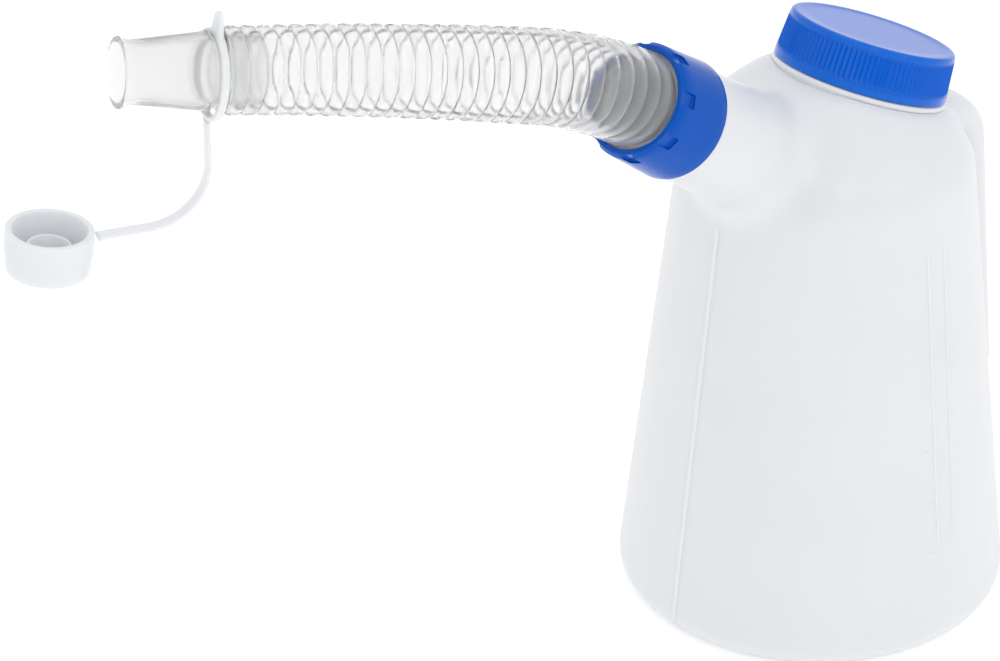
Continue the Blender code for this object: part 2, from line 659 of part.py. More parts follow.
# ================================================================ nozzle
def nozzle(tip_frame, clear):
    shank_r = hose_bore(hose_length()) - GAP
    stop_z = GAP + NOZZLE_STOP_T
    bead_z = stop_z + NOZZLE_GROOVE_W
    cone_z = bead_z + NOZZLE_BEAD_T
    neck_z = NOZZLE_LENGTH - NOZZLE_FLARE
    stop_r = NOZZLE_GROOVE_R + NOZZLE_STOP_PROUD
    bead_r = NOZZLE_GROOVE_R + NOZZLE_BEAD_PROUD
    cone_r = NOZZLE_GROOVE_R + NOZZLE_CONE_PROUD
    mouth = [(NOZZLE_MOUTH_R - NOZZLE_EDGE, NOZZLE_LENGTH), (NOZZLE_MOUTH_R, NOZZLE_LENGTH - NOZZLE_EDGE),
             (NOZZLE_MOUTH_R, NOZZLE_LENGTH - NOZZLE_LIP_T), (NOZZLE_SMALL_R, neck_z)]
    collar = [(cone_r, cone_z), (bead_r, cone_z), (bead_r, bead_z), (NOZZLE_GROOVE_R, bead_z),
              (NOZZLE_GROOVE_R, stop_z), (stop_r, stop_z), (stop_r, GAP), (shank_r, GAP),
              (shank_r, -NOZZLE_SHANK)]
    inside = [(shank_r - NOZZLE_WALL, -NOZZLE_SHANK), (NOZZLE_GROOVE_R - NOZZLE_WALL, bead_z),
              (NOZZLE_SMALL_R - NOZZLE_WALL, neck_z),
              (NOZZLE_MOUTH_R - NOZZLE_WALL - NOZZLE_EDGE, NOZZLE_LENGTH)]
    return turned("nozzle", mouth + collar + inside, tip_frame, clear, segments=TIP_SEGMENTS)


# ================================================================ tether
def tether_ring(tip_frame, milky):
    inner_r = NOZZLE_GROOVE_R + GAP + RING_DROP
    outer_r = inner_r + RING_WALL
    middle = GAP + NOZZLE_STOP_T + NOZZLE_GROOVE_W / 2
    drop = Matrix.Translation((-RING_DROP, 0.0, middle))
    half = RING_WIDTH / 2
    ring = turned("tether_ring", [(outer_r, half), (outer_r, -half), (inner_r, -half), (inner_r, half)],
                  tip_frame, milky, segments=TIP_SEGMENTS, matrix=drop)
    tab = box("ring_tab", (outer_r - RING_WALL / 2, -TAB_WIDTH / 2, -TAB_T / 2),
              (outer_r + TAB_HEIGHT, TAB_WIDTH / 2, TAB_T / 2), tip_frame, matrix=drop)
    bevel = tab.modifiers.new("round", "BEVEL")
    bevel.width = TAB_T * 0.4
    bevel.segments = 2
    boolean(ring, tab, "UNION")
    return ring


def tether_strap(tether_frame, tip_lean, milky):
    """The strap drops from the ring and runs level to the cap, in the tether frame's XZ plane."""
    inner_r = NOZZLE_GROOVE_R + GAP + RING_DROP
    ring_bottom = inner_r + RING_WALL + RING_DROP + GAP
    middle = GAP + NOZZLE_STOP_T + NOZZLE_GROOVE_W / 2
    start = (middle * math.cos(tip_lean) + ring_bottom * math.sin(tip_lean),
             middle * math.sin(tip_lean) - ring_bottom * math.cos(tip_lean) - GAP)
    end_x = CAP_REACH - CAP_RIM_R * math.cos(CAP_TILT) - 3 * GAP
    corners = (start, (start[0] + STRAP_LEAN, -STRAP_DROP), (end_x, -STRAP_DROP))
    path = rounded_path(corners, STRAP_BEND_R, STRAP_BEND_STEPS)
    half_t, half_w = STRAP_T / 2, STRAP_WIDTH / 2
    section = ((-half_t, -half_w), (half_t, -half_w), (half_t, half_w), (-half_t, half_w))
    return swept("tether_strap", path, section, tether_frame, milky)


def tip_cap(tether_frame, milky):
    seat = Matrix.Translation((CAP_REACH, 0.0, -CAP_RIM_DROP)) @ Matrix.Rotation(-CAP_TILT, 4, "Y")
    floor = -CAP_H + CAP_FLOOR_T
    band = -CAP_H / 2
    plug_bore_r = CAP_PLUG_R - CAP_PLUG_WALL
    plug_top = floor + CAP_PLUG_H
    profile = [(CAP_RIM_R - CAP_EDGE, 0.0), (CAP_RIM_R, -CAP_EDGE), (CAP_RIM_R, band),
               (CAP_RIM_R - CAP_BAND, band - CAP_BAND), (CAP_FLOOR_R, -CAP_H + CAP_FOOT),
               (CAP_FLOOR_R - CAP_FOOT, -CAP_H), (0.0, -CAP_H)]
    hollow = [(0.0, floor), (plug_bore_r, floor), (plug_bore_r, plug_top), (CAP_PLUG_R, plug_top),
              (CAP_PLUG_R, floor), (CAP_BORE_R, floor), (CAP_BORE_R, 0.0)]
    return turned("tip_cap", hollow + profile, tether_frame, milky, segments=TIP_SEGMENTS, matrix=seat)


# ================================================================ assembly
def axis_frame(origin, forward, up):
    """A frame at origin with +Z forward and +X as near to up as it can be."""
    z = forward.normalized()
    y = z.cross(up).normalized()
    x = y.cross(z)
    turn = Matrix((x, y, z)).transposed().to_4x4()
    return Matrix.Translation(origin) @ turn


def main():
    clear_scene()
    milky = material("milky_polyethylene", MILKY, 0.35)
    lid_blue = material("lid_blue", BLUE, 0.35)
    nut_blue = material("nut_blue", BLUE, 0.22)
    clear = material("hose_clear", CLEAR, 0.15)
    nozzle_clear = material("nozzle_clear", CLEAR, 0.08)
    ring_milky = material("ring_milky", MILKY, 0.30)
    strap_milky = material("strap_milky", MILKY, 0.32)
    cap_milky = material("cap_milky", MILKY, 0.30)
    lid_grey = material("lid_seal_grey", SEAL_GREY, 0.6)
    spout_grey = material("spout_seal_grey", SEAL_GREY, 0.6)
    up = Vector((0.0, 0.0, 1.0))

    root = frame("jug_frame", None, Matrix.Identity(4))
    lid_frame = frame("lid_frame", root, lid_place())
    spout_frame = frame("spout_frame", root, spout_place())
    point, heading = hose_stations(hose_length())
    tip_origin = spout_place() @ point
    tip_heading = spout_place().to_3x3() @ heading
    tip_frame = frame("tip_frame", root, axis_frame(tip_origin, tip_heading, up))
    level = Vector((tip_heading.x, tip_heading.y, 0.0)).normalized()
    tether_turn = Matrix((level, up.cross(level), up)).transposed().to_4x4()
    tether_frame = frame("tether_frame", root, Matrix.Translation(tip_origin) @ tether_turn)
    tip_lean = math.asin(tip_heading.z)

    jug(root, lid_frame, spout_frame, milky)
    filler_lid(lid_frame, lid_blue, lid_grey)
    swivel_nut(spout_frame, nut_blue, spout_grey)
    flex_hose(spout_frame, clear)
    nozzle(tip_frame, nozzle_clear)
    tether_ring(tip_frame, ring_milky)
    tether_strap(tether_frame, tip_lean, strap_milky)
    tip_cap(tether_frame, cap_milky)


main()
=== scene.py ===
"""Two-litre fluid measuring jug with a flexible spout and a tethered tip cap: the visual model.

Every length is in metres, in the model's own frame: +Z up, spout towards -X, handle towards +X.
The places of the lid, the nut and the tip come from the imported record's joints.
"""

import json
import math

import bmesh
import bpy
import numpy as np
from mathutils import Matrix, Vector
from mathutils.bvhtree import BVHTree


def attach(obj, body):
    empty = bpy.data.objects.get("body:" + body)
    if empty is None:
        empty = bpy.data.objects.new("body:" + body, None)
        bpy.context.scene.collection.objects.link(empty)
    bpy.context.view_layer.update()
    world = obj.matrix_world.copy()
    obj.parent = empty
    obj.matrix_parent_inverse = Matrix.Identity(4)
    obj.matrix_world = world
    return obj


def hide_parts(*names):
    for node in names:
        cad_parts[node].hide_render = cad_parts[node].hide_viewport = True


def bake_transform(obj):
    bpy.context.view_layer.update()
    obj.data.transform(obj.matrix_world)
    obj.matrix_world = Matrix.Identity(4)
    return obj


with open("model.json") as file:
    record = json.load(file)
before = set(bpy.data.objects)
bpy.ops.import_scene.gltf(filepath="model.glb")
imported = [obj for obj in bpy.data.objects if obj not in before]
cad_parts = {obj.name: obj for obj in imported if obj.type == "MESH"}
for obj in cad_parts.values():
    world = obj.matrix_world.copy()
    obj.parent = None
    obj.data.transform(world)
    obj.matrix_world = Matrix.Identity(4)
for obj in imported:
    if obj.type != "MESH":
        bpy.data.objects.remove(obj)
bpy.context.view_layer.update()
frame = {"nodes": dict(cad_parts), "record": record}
JOINTS = {joint["name"]: joint for joint in frame["record"]["behaviour"]["joints"]}
UP = Vector((0.0, 0.0, 1.0))
GAP = 0.0003

# ---------------------------------------------------------------- jug
BASE_R = 0.070
BODY_TAPER = math.radians(6.3)
CORNER_R = 0.0068
BODY_WALL = 0.0020
SHOULDER_Z = 0.170
SHOULDER_LEAN = 0.002
SHOULDER_RISE = 0.34
SHOULDER_CROWN = 0.10
BODY_SEGMENTS = 144
VOXEL = 0.0014
NECK_FILLET = 0.013         # how far from where the spout neck meets the body the wall is faired
HANDLE_FILLET = 0.0055      # the same for the handle
RECESS_FILLET = 0.0040      # and for the finger recess
FILLET_PASSES = 90

# ---------------------------------------------------------------- lid and filler neck
NECK_ROOT_R = 0.0264
NECK_WALL = 0.0022
NECK_H = 0.0134
LID_BORE_R = 0.0282
LID_TOP_R = 0.0298
LID_RIM_R = 0.0312
LID_H = 0.0170
LID_PLATE = 0.0018
LID_RIBS = 100
LID_RIB_STEPS = 6
LID_RIB_DEPTH = 0.00075
COLLAR_R = 0.0315
COLLAR_H = 0.0022
LID_PITCH = 0.0060

# ---------------------------------------------------------------- spout neck and nut
NUT_LENGTH = 0.0239
NUT_LIP = 0.0023
NUT_BORE_R = 0.0185
NUT_FRONT_R = 0.0202
NUT_REAR_R = 0.0213
NUT_BEVEL = 0.0016
NUT_SLOTS = 8
NUT_PITCH = 0.0045
SPOUT_ROOT_R = 0.0163
SPOUT_WALL = 0.0020
SPOUT_RIM_Z = 0.0179
SPOUT_STUB_R = 0.0201
SPOUT_STUB_LENGTH = 0.0115
SPOUT_FLARE = 0.0042
SPOUT_FLARE_LENGTH = 0.054

# ---------------------------------------------------------------- hose
HOSE_SWIVEL = math.radians(42.0)
HOSE_RINGS = 28
HOSE_NEAR_LENGTH = 0.0454
HOSE_NEAR_BEND = math.radians(27.0)
HOSE_FAR_LENGTH = 0.1074
HOSE_FAR_BEND = math.radians(7.4)
HOSE_LENGTH = HOSE_NEAR_LENGTH + HOSE_FAR_LENGTH
HOSE_CREST_START = 0.0168
HOSE_CREST_END = 0.0142
HOSE_RING_DEPTH = 0.0018
HOSE_WALL = 0.0008
HOSE_FLANGE_R = 0.0179
HOSE_FLANGE_T = 0.0016
HOSE_ROWS = 10              # per corrugation
HOSE_SEGMENTS = 64

# ---------------------------------------------------------------- nozzle, ring, strap and cap
NOZZLE_LENGTH = 0.0349
NOZZLE_SHANK = 0.0120
NOZZLE_WALL = 0.0014
NOZZLE_GROOVE_R = 0.0117
NOZZLE_GROOVE_W = 0.0039
NOZZLE_STOP_T = 0.0011
NOZZLE_SMALL_R = 0.0102
NOZZLE_MOUTH_R = 0.0115
RING_DROP = 0.0012
RING_INNER_R = NOZZLE_GROOVE_R + GAP + RING_DROP
RING_WALL = 0.0018
RING_WIDTH = 0.0026
RING_MIDDLE = GAP + NOZZLE_STOP_T + NOZZLE_GROOVE_W / 2
TAB_HEIGHT = 0.0068
TAB_WIDTH = 0.0076
TAB_T = 0.0024
CAP_REACH = 0.0585
CAP_RIM_DROP = 0.0462
CAP_TILT = math.radians(6.0)
CAP_BORE_R = 0.0119
CAP_RIM_R = 0.0143
CAP_FLOOR_R = 0.0136
CAP_H = 0.0147
CAP_PLUG_R = 0.0074
STRAP_T = 0.0014
STRAP_WIDTH = 0.0050
STRAP_BEND_R = 0.0200
STRAP_DROP = CAP_RIM_DROP + 0.0056

# ---------------------------------------------------------------- handle and finger recess
HANDLE_DEPTH = 0.0140
HANDLE_WIDTH = 0.0240
HANDLE_REACH = 0.0132
HANDLE_TOP_Z = 0.165
HANDLE_TOP_SLOPE = math.radians(24.0)
HANDLE_FOOT_Z = 0.0460
HANDLE_ROOT_DEPTH = 0.0120
HANDLE_BEND_R = 0.0140
RECESS_DEPTH = 0.0160
RECESS_OUT = 0.0040
RECESS_HALF_WIDTH = 0.0377
RECESS_HALF_HEIGHT = 0.0470
RECESS_Z = 0.1000

# ---------------------------------------------------------------- level strip and mould line
STRIP_WIDTH = 0.0080
STRIP_LOW_Z = 0.041
STRIP_HIGH_Z = 0.157
STRIP_TICKS = ((0.0385, "0.5"), (0.0580, ""), (0.0790, "1.0"), (0.1020, ""), (0.1275, "1.5"))
RIB_WIDTH = 0.0008          # of the strip's edges and ticks
RIB_PROUD = 0.00008
TICK_LONG = 0.0060
TICK_SHORT = 0.0040
TICK_GAP = 0.0008           # from the strip's edge
NUMBER_SIZE = 0.0062
NUMBER_GAP = 0.0012         # from the tick's end
NUMBER_TURN_X = 0.004       # where the wall faces straight along -Y for the numbers
MOULD_LOW_Z = 0.0035
MOULD_HIGH_Z = 0.172
MOULD_HALF_WIDTH = 0.0009
MOULD_PROUD = 0.00003

# ---------------------------------------------------------------- camera and light
CAMERA_PLACE = (-1.00933, -0.94798, 0.92742)
CAMERA_PITCH = math.radians(30.99)
CAMERA_YAW = math.radians(42.07)
CAMERA_LENS_MM = 162.0
CAMERA_SENSOR_MM = 36.0
WORLD_STRENGTH = 0.88
FLOOR_GLOW = 0.24
FLOOR_HALF_SIZE = 6.0
LAMPS = (("key", (-0.55, -0.95, 1.15), 0.20, 1.3), ("fill", (0.35, -1.25, 0.95), 0.24, 0.9),
         ("top", (0.1, 0.3, 1.6), 0.8, 1.2))      # name, place, size and watts
LAMP_TARGET = Vector((0.0, 0.0, 0.12))


# ================================================================ mesh tools
def place(name, mesh, matrix=None):
    """Makes a smooth-shaded object, with its place kept in its mesh."""
    item = bpy.data.objects.new(name, mesh)
    bpy.context.collection.objects.link(item)
    if matrix is not None:
        mesh.transform(matrix)
    mesh.shade_smooth()
    return item


def lofted(name, rings, looped=False, matrix=None):
    """A solid through equal rings of points, closed at both ends or looped round on itself."""
    made = bmesh.new()
    rows = [[made.verts.new(point) for point in ring] for ring in rings]
    pairs = list(zip(rows, rows[1:]))
    if looped:
        pairs.append((rows[-1], rows[0]))
    for lower, upper in pairs:
        for k in range(len(lower)):
            j = (k + 1) % len(lower)
            made.faces.new((lower[k], lower[j], upper[j], upper[k]))
    if not looped:
        made.faces.new(list(reversed(rows[0])))
        made.faces.new(rows[-1])
    bmesh.ops.recalc_face_normals(made, faces=made.faces)
    mesh = bpy.data.meshes.new(name)
    made.to_mesh(mesh)
    made.free()
    return place(name, mesh, matrix)


def turned(name, profile, segments=96, matrix=None):
    """A solid turned about Z from (radius, height) points: closed on the axis, or a looped ring."""
    angles = [2 * math.pi * k / segments for k in range(segments)]
    rings = [[(r * math.cos(a), r * math.sin(a), z) for a in angles] for r, z in profile if r > 0.0]
    return lofted(name, rings, profile[0][0] > 0.0, matrix)


def arc(radius_at, height_at, radius, start, end, steps=5):
    """Points on a small arc of a profile, angles in degrees from outward."""
    points = []
    for k in range(steps + 1):
        angle = math.radians(start + (end - start) * k / steps)
        points.append((radius_at + radius * math.cos(angle), height_at + radius * math.sin(angle)))
    return points


def combined(target, other, operation):
    """Takes other into target, or out of it, and keeps only the result."""
    step = target.modifiers.new("combine", "BOOLEAN")
    step.operation = operation
    step.solver = "MANIFOLD"
    step.object = other
    settle(target)
    bpy.data.objects.remove(other)
    return target


def settle(item):
    """Applies the item's modifiers."""
    evaluated = item.evaluated_get(bpy.context.evaluated_depsgraph_get())
    mesh = bpy.data.meshes.new_from_object(evaluated)
    item.modifiers.clear()
    item.data = mesh
    return item


def rounded_path(corners, radius, steps):
    """A plane path through corner points, with each inner corner replaced by an arc."""
    points = [Vector(corners[0])]
    for before, corner, after in zip(corners, corners[1:], corners[2:]):
        corner = Vector(corner)
        back = (Vector(before) - corner).normalized()
        ahead = (Vector(after) - corner).normalized()
        half = back.angle(ahead) / 2
        centre = corner + (back + ahead).normalized() * (radius / math.sin(half))
        first = corner + back * (radius / math.tan(half)) - centre
        sweep = math.copysign(math.pi - 2 * half, back.cross(ahead))
        for k in range(steps + 1):
            points.append(centre + Matrix.Rotation(-sweep * k / steps, 2) @ first)
    points.append(Vector(corners[-1]))
    return points


def swept(name, path, section, matrix=None):
    """A solid swept along a path in the XZ plane. The section gives (across, sideways) points."""
    rings = []
    for k, point in enumerate(path):
        ahead = (path[min(k + 1, len(path) - 1)] - path[max(k - 1, 0)]).normalized()
        across = Vector((-ahead[1], ahead[0]))
        ring = []
        for a, s in section:
            spot = point + across * a
            ring.append((spot[0], s, spot[1]))
        rings.append(ring)
    return lofted(name, rings, matrix=matrix)


def oval(depth, width, segments=40, fullness=0.8):
    """Points of a section between an oval and a rounded rectangle."""
    points = []
    for k in range(segments):
        angle = 2 * math.pi * (k + 0.5) / segments
        c, s = math.cos(angle), math.sin(angle)
        points.append((math.copysign(abs(c) ** fullness, c) * depth / 2,
                       math.copysign(abs(s) ** fullness, s) * width / 2))
    return points


def helix(name, root_r, crest_r, start, pitch, turns, matrix):
    """A rounded thread ridge from root_r to crest_r that fades in at both ends."""
    steps = 48
    count = round(turns * steps)
    root_half = pitch * 0.21
    buried_r = root_r + math.copysign(0.0008, root_r - crest_r)
    rings = []
    for k in range(count + 1):
        fade = min(1.0, 0.1 + min(k, count - k) / 8)
        angle = 2 * math.pi * k / steps
        z = start + pitch * k / steps
        tip_r = root_r + (crest_r - root_r) * fade
        waist_r = root_r + (crest_r - root_r) * fade * 0.7
        corners = ((buried_r, -root_half), (waist_r, -root_half * 0.55), (tip_r, -root_half * 0.25),
                   (tip_r, root_half * 0.25), (waist_r, root_half * 0.55), (buried_r, root_half))
        rings.append([(r * math.cos(angle), r * math.sin(angle), z + h) for r, h in corners])
    return lofted(name, rings, matrix=matrix)


def crisp(item, degrees=32.0):
    """Keeps edges that turn more than this sharp in the shading."""
    item.data.set_sharp_from_angle(angle=math.radians(degrees))
    return item


def axis_frame(origin, forward, up):
    """A frame with +Z along forward and +X as near as it can be to up."""
    z = forward.normalized()
    y = z.cross(up).normalized()
    x = y.cross(z)
    return Matrix.Translation(origin) @ Matrix((x, y, z)).transposed().to_4x4()


def joint_frame(joint, up):
    """The frame of a hinge: its place, with +Z along its axis."""
    return axis_frame(Vector(JOINTS[joint]["pos_m"]), Vector(JOINTS[joint]["axis"]), up)


# ================================================================ materials
def plastic(name, colour, roughness, **settings):
    """A moulded plastic: slight colour drift, uneven gloss, fine orange peel and slow ripples."""
    made = bpy.data.materials.new(name)
    made.use_nodes = True
    nodes, links = made.node_tree.nodes, made.node_tree.links
    shader = nodes["Principled BSDF"]
    coords = nodes.new("ShaderNodeTexCoord")
    drift = nodes.new("ShaderNodeTexNoise")
    drift.inputs["Scale"].default_value = settings.pop("drift_scale", 22.0)
    drift.inputs["Detail"].default_value = 3.0
    links.new(coords.outputs["Object"], drift.inputs["Vector"])
    tint = nodes.new("ShaderNodeMix")
    tint.data_type = "RGBA"
    spread = settings.pop("drift", 0.03)
    tint.inputs["A"].default_value = [c * (1.0 - spread) for c in colour] + [1.0]
    tint.inputs["B"].default_value = [min(1.0, c * (1.0 + spread)) for c in colour] + [1.0]
    links.new(drift.outputs["Fac"], tint.inputs["Factor"])
    links.new(tint.outputs["Result"], shader.inputs["Base Color"])
    gloss = nodes.new("ShaderNodeMapRange")
    gloss.inputs["To Min"].default_value = roughness * 0.85
    gloss.inputs["To Max"].default_value = roughness * 1.15
    links.new(drift.outputs["Fac"], gloss.inputs["Value"])
    links.new(gloss.outputs["Result"], shader.inputs["Roughness"])
    peel = nodes.new("ShaderNodeTexNoise")
    peel.inputs["Scale"].default_value = settings.pop("peel_scale", 420.0)
    links.new(coords.outputs["Object"], peel.inputs["Vector"])
    ripple = nodes.new("ShaderNodeTexNoise")
    ripple.inputs["Scale"].default_value = settings.pop("ripple_scale", 32.0)
    links.new(coords.outputs["Object"], ripple.inputs["Vector"])
    slow = nodes.new("ShaderNodeBump")
    slow.inputs["Distance"].default_value = settings.pop("ripple_depth", 0.0009)
    slow.inputs["Strength"].default_value = 0.5
    links.new(ripple.outputs["Fac"], slow.inputs["Height"])
    fine = nodes.new("ShaderNodeBump")
    fine.inputs["Distance"].default_value = settings.pop("peel_depth", 0.00006)
    fine.inputs["Strength"].default_value = 0.5
    links.new(peel.outputs["Fac"], fine.inputs["Height"])
    links.new(slow.outputs["Normal"], fine.inputs["Normal"])
    links.new(fine.outputs["Normal"], shader.inputs["Normal"])
    for socket, value in settings.items():
        shader.inputs[socket.replace("_", " ")].default_value = value
    return made


def finish_piece(item, look, body=None, node=None):
    """Gives the piece its material and slot and its body, and hides the CAD node it stands for."""
    item.data.materials.clear()
    item.data.materials.append(look)
    if node is not None:
        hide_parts(node)
    if body is not None:
        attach(item, body)
    return item


HDPE = plastic("natural_polyethylene", (0.795, 0.815, 0.845), 0.34, Subsurface_Weight=0.35,
               Subsurface_Radius=(0.006, 0.006, 0.0065), Subsurface_Scale=1.0, IOR=1.5)
HDPE_MARK = plastic("natural_polyethylene_marks", (0.80, 0.82, 0.85), 0.34, IOR=1.5, ripple_depth=0.0002)
SOFT_MILK = plastic("milky_polyethylene", (0.79, 0.81, 0.835), 0.32, Subsurface_Weight=0.5,
                    Subsurface_Radius=(0.006, 0.006, 0.0065), Subsurface_Scale=0.6, IOR=1.5,
                    ripple_depth=0.0002)
LID_BLUE = plastic("lid_blue_plastic", (0.0, 0.125, 0.64), 0.18, IOR=1.34, ripple_depth=0.0002,
                   drift=0.06)
NUT_BLUE = plastic("nut_blue_plastic", (0.0, 0.085, 0.47), 0.16, IOR=1.25, ripple_depth=0.0003,
                   drift=0.06)
CLEAR = plastic("clear_hose_plastic", (0.99, 0.993, 1.0), 0.12, Transmission_Weight=0.88, IOR=1.15,
                Subsurface_Weight=1.0, Subsurface_Radius=(0.004, 0.004, 0.0042), Subsurface_Scale=1.0,
                ripple_depth=0.0002, peel_depth=0.00002)
NOZZLE_CLEAR = plastic("clear_nozzle_plastic", (0.99, 0.993, 0.996), 0.16, Transmission_Weight=0.86,
                       IOR=1.36, ripple_depth=0.0002, peel_depth=0.00002)
SEAL = plastic("seal_pale_rubber", (0.76, 0.77, 0.78), 0.62, IOR=1.5, peel_depth=0.0001)

LID_FRAME = joint_frame("lid_turn", UP)
SPOUT_FRAME = joint_frame("spout_swivel", UP)
TIP_FRAME = joint_frame("ring_turn", UP)
TIP_AXIS = Vector(JOINTS["ring_turn"]["axis"])
TIP_LEAN = math.asin(TIP_AXIS.z)
LEVEL = Vector((TIP_AXIS.x, TIP_AXIS.y, 0.0)).normalized()
TETHER_FRAME = (Matrix.Translation(Vector(JOINTS["ring_turn"]["pos_m"]))
                @ Matrix((LEVEL, UP.cross(LEVEL), UP)).transposed().to_4x4())


# ================================================================ jug body
def side_radius(z):
    """Outer radius of the tapered side."""
    return BASE_R - (z - CORNER_R) * math.tan(BODY_TAPER)


def body_skin(name, inset):
    """The foot, side and shoulder moved in by inset, closed under the filler neck's collar."""
    angles = [2 * math.pi * k / BODY_SEGMENTS for k in range(BODY_SEGMENTS)]
    centre_r = side_radius(CORNER_R) - CORNER_R / math.cos(BODY_TAPER)
    rings = []
    for r, z in arc(centre_r, CORNER_R, CORNER_R - inset, -90, math.degrees(BODY_TAPER), 10):
        rings.append([(r * math.cos(a), r * math.sin(a), z) for a in angles])
    side_steps = 24
    shoulder_steps = 24
    axis = LID_FRAME.to_3x3() @ UP
    tilt = UP.rotation_difference(axis).to_matrix()
    collar_foot = LID_FRAME.translation - axis * (GAP + COLLAR_H + inset)
    columns = []
    for a in angles:
        outward = Vector((math.cos(a), math.sin(a), 0.0))
        low_z = SHOULDER_Z - SHOULDER_LEAN * math.cos(a)
        column = []
        for k in range(1, side_steps):
            z = CORNER_R + (low_z - CORNER_R) * k / side_steps
            column.append(outward * (side_radius(z) - inset) + UP * z)
        low = outward * (side_radius(low_z) - inset) + UP * low_z
        rise = (UP - outward * math.tan(BODY_TAPER)).normalized()
        flat_out = tilt @ outward
        high = collar_foot + flat_out * (COLLAR_R - inset)
        span = (high - low).length
        near = low + rise * span * SHOULDER_RISE
        far = high + flat_out * span * SHOULDER_CROWN
        for k in range(shoulder_steps + 1):
            t = k / shoulder_steps
            column.append(low * (1 - t) ** 3 + near * 3 * t * (1 - t) ** 2
                          + far * 3 * t ** 2 * (1 - t) + high * t ** 3)
        columns.append(column)
    for k in range(len(columns[0])):
        rings.append([tuple(column[k]) for column in columns])
    return lofted(name, rings)


def spout_skin(name, inset, top):
    """The spout neck's stub and flare, from its front end down into the jug."""
    steps = 14
    profile = [(0.0, top), (SPOUT_STUB_R - inset, top)]
    for k in range(steps + 1):
        share = k / steps
        along = SPOUT_STUB_LENGTH + (SPOUT_FLARE_LENGTH - SPOUT_STUB_LENGTH) * share
        profile.append((SPOUT_STUB_R + SPOUT_FLARE * share ** 2 - inset, -along))
    return turned(name, profile, matrix=SPOUT_FRAME)


def handle_skin(name, inset):
    """The grip and its two roots, moved in by inset."""
    top_x = side_radius(HANDLE_TOP_Z) + HANDLE_REACH
    foot_x = side_radius(HANDLE_FOOT_Z) + HANDLE_REACH
    inward = HANDLE_REACH + HANDLE_ROOT_DEPTH
    top_root = (top_x - inward, HANDLE_TOP_Z + inward * math.tan(HANDLE_TOP_SLOPE))
    corners = (top_root, (top_x, HANDLE_TOP_Z), (foot_x, HANDLE_FOOT_Z),
               (foot_x - inward, HANDLE_FOOT_Z))
    section = oval(HANDLE_DEPTH - 2 * inset, HANDLE_WIDTH - 2 * inset)
    return swept(name, rounded_path(corners, HANDLE_BEND_R, 14), section)


def recess_skin(name, grow):
    """The finger recess behind the grip: an oval bowl sunk into the jug's side."""
    steps = 40
    depth = RECESS_OUT + RECESS_DEPTH + grow
    rings = []
    for k in range(1, steps):
        latitude = math.pi * (k / steps - 0.5)
        z = (RECESS_HALF_HEIGHT + grow) * math.sin(latitude)
        ring = []
        for j in range(72):
            angle = 2 * math.pi * j / 72
            ring.append((depth * math.cos(latitude) * math.cos(angle),
                         (RECESS_HALF_WIDTH + grow) * math.cos(latitude) * math.sin(angle), z))
        rings.append(ring)
    centre = Matrix.Translation((side_radius(RECESS_Z) + RECESS_OUT, 0.0, RECESS_Z))
    return lofted(name, rings, matrix=centre @ Matrix.Rotation(-BODY_TAPER, 4, "Y"))


def faired(item, skins):
    """Remeshes the item evenly and smooths it where two of the body, neck, handle and recess meet."""
    trees = [BVHTree.FromPolygons([v.co[:] for v in s.data.vertices],
                                  [p.vertices[:] for p in s.data.polygons]) for s in skins]
    remesh = item.modifiers.new("even", "REMESH")
    remesh.mode = "VOXEL"
    remesh.voxel_size = VOXEL
    settle(item)
    mesh = item.data
    count = len(mesh.vertices)
    spots = np.empty(count * 3)
    mesh.vertices.foreach_get("co", spots)
    spots = spots.reshape(-1, 3)
    edges = np.empty(len(mesh.edges) * 2, dtype=np.int64)
    mesh.edges.foreach_get("vertices", edges)
    edges = edges.reshape(-1, 2)
    weights = np.zeros(count)
    for k in range(count):
        body, neck, handle, recess = (tree.find_nearest(spots[k])[3] for tree in trees)
        meetings = ((body, neck, NECK_FILLET), (body, handle, HANDLE_FILLET),
                    (body, recess, RECESS_FILLET))
        weights[k] = max(max(0.0, 1.0 - (max(a, b) / reach) ** 2) for a, b, reach in meetings)
    weights = 0.5 * weights[:, None]
    degree = np.bincount(edges.ravel(), minlength=count)[:, None]
    for _ in range(FILLET_PASSES):
        total = np.zeros_like(spots)
        for axis in range(3):
            total[:, axis] = (np.bincount(edges[:, 0], spots[edges[:, 1], axis], count)
                              + np.bincount(edges[:, 1], spots[edges[:, 0], axis], count))
        spots += (total / degree - spots) * weights
    mesh.vertices.foreach_set("co", spots.ravel())
    mesh.shade_smooth()
    return item


